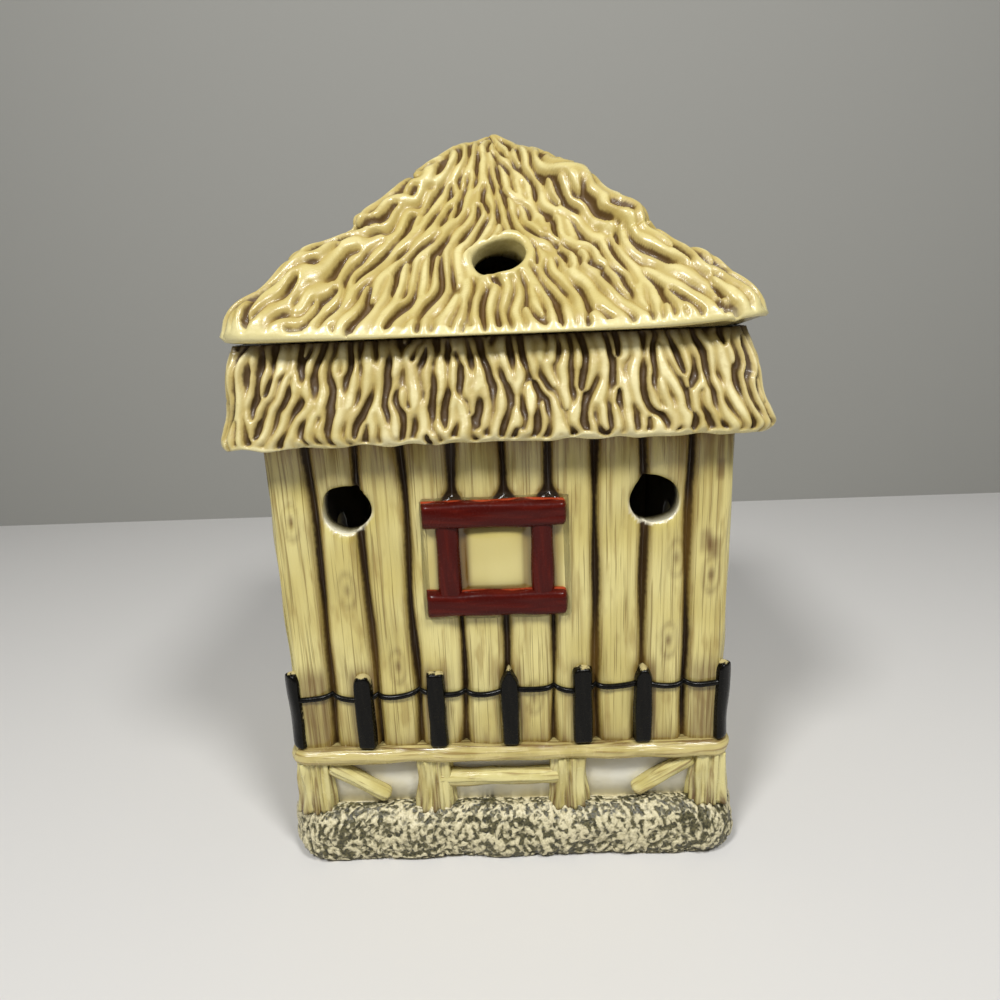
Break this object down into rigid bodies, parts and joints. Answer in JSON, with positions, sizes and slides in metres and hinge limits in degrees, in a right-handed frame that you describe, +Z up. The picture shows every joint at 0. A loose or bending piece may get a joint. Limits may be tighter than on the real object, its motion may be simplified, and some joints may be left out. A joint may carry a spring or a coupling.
{
  "type": "wax warmer",
  "caption": "Ceramic wax warmer shaped as a thatched plank hut, with a lift-off roof, a wax dish in its mouth and a tealight behind an arched door.",
  "frame": {"origin": "middle of the underside, on the surface that the hut stands on", "axes": "+Z up, -Y out of the front wall with the window, +X to the right seen from the front"},
  "size_m": [0.13, 0.109, 0.1898],
  "materials": {
    "hut_glaze": "cream glaze with brown wash in the grooves, clear gloss",
    "red_enamel": "red brown enamel, gloss",
    "black_enamel": "brown black enamel, gloss",
    "thatch_glaze": "straw glaze with brown wash in the furrows, clear gloss",
    "dish_glaze": "plain cream gloss glaze",
    "scented_wax": "soft wax sheen",
    "cup_aluminium": "drawn sheet",
    "paraffin": "white wax",
    "tin_plate": "tin plate",
    "cotton": "braided cotton, waxed"
  },
  "bodies": {
    "hut": {"hut_body": "hut_glaze", "window_frame": "red_enamel", "picket_fence": "black_enamel"},
    "dish": {"wax_dish": "dish_glaze", "wax_melt": "scented_wax"},
    "lid": {"roof_lid": "thatch_glaze"},
    "tealight": {"tealight_cup": "cup_aluminium", "tealight_wax": "paraffin", "wick_sustainer": "tin_plate", "tealight_wick": "cotton"}
  },
  "joints": [
    {"name": "dish_lift", "type": "slide", "parent": "hut", "child": "dish", "axis": [0, 0, 1], "range_m": [0, 0.045]},
    {"name": "lid_lift", "type": "slide", "parent": "dish", "child": "lid", "axis": [0, 0, 1], "range_m": [0, 0.08]},
    {"name": "tealight_slide", "type": "slide", "parent": "hut", "child": "tealight", "axis": [0, 1, 0], "range_m": [0, 0.075]}
  ]
}
